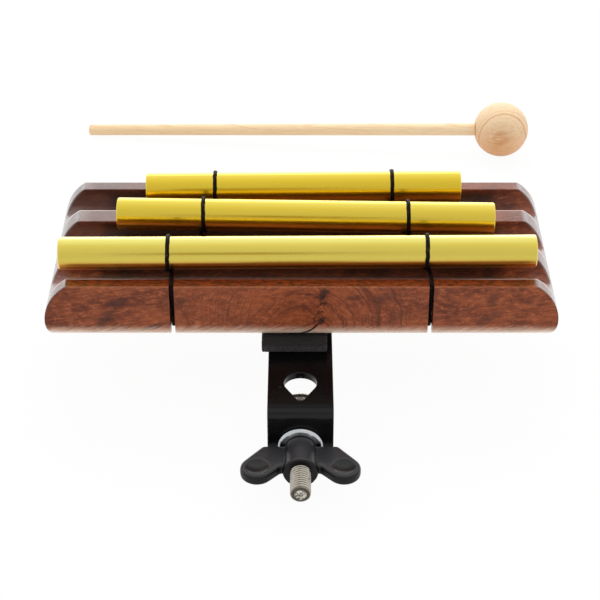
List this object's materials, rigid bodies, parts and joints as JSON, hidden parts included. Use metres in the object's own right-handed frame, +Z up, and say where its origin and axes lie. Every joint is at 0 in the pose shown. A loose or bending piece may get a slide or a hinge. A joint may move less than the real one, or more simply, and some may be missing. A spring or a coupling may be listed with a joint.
{
  "type": "tri-tone chime",
  "caption": "Tuned metal rods slung on elastic cords over a grooved hardwood base, with an eye-bolt clamp for a stand's rod and a wooden ball mallet.",
  "frame": {"origin": "on the axis of the stand's rod, at the centre of the bracket's V-hole seen from above, level with the clamp bolt's axis", "axes": "+Z up along the stand's rod, +Y away from the player, across the rods, +X to the player's right, along the rods"},
  "size_m": [0.2265, 0.3027, 0.0741],
  "materials": {
    "hardwood": "satin oiled reddish-brown hardwood with a straight dark grain",
    "gold_anodised": "gold anodised, smooth and glossy",
    "elastic_cord": "black braided sleeve over an elastic core",
    "foam": "dull black closed-cell foam",
    "black_coat": "satin black powder coat",
    "bare_steel": "dull nickel-plated steel",
    "beech": "pale turned beech, satin"
  },
  "bodies": {
    "base": {"wood_base": "hardwood", "bracket_pad": "foam", "mount_bracket": "black_coat", "bracket_screw_front": "bare_steel", "bracket_screw_rear": "bare_steel", "clamp_washer": "bare_steel", "cord_long_left": "elastic_cord", "cord_long_right": "elastic_cord", "cord_middle_left": "elastic_cord", "cord_middle_right": "elastic_cord", "cord_short_left": "elastic_cord", "cord_short_right": "elastic_cord"},
    "long_chime": {"chime_rod_long": "gold_anodised"},
    "middle_chime": {"chime_rod_middle": "gold_anodised"},
    "short_chime": {"chime_rod_short": "gold_anodised"},
    "clamp_eye": {"eye_bolt": "bare_steel"},
    "clamp_nut": {"wing_nut": "black_coat"},
    "mallet": {"mallet_shaft": "beech", "mallet_head": "beech"}
  },
  "joints": [
    {"name": "long_chime_bounce", "type": "slide", "parent": "base", "child": "long_chime", "axis": [0, 0, 1], "range_m": [-0.002, 0.002], "stiffness_N_per_m": 1300, "springref_m": 0.00052, "deforming": ["cord_long_left", "cord_long_right"]},
    {"name": "middle_chime_bounce", "type": "slide", "parent": "base", "child": "middle_chime", "axis": [0, 0, 1], "range_m": [-0.002, 0.002], "stiffness_N_per_m": 1300, "springref_m": 0.00042, "deforming": ["cord_middle_left", "cord_middle_right"]},
    {"name": "short_chime_bounce", "type": "slide", "parent": "base", "child": "short_chime", "axis": [0, 0, 1], "range_m": [-0.002, 0.002], "stiffness_N_per_m": 1300, "springref_m": 0.00036, "deforming": ["cord_short_left", "cord_short_right"]},
    {"name": "nut_turn", "type": "hinge", "parent": "base", "child": "clamp_nut", "pos_m": [0, -0.022, 0], "axis": [0, 1, 0], "range_deg": [-720, 1296]},
    {"name": "eye_draw", "type": "slide", "parent": "base", "child": "clamp_eye", "axis": [0, -1, 0], "range_m": [-0.0025, 0.0045]},
    {"name": "mallet_lift", "type": "slide", "parent": "base", "child": "mallet", "axis": [0, 0, 1], "range_m": [0, 0.1]}
  ],
  "couplings": [
    {"joint": "nut_turn", "follows": "eye_draw", "rad_per_m": 5026.5}
  ]
}
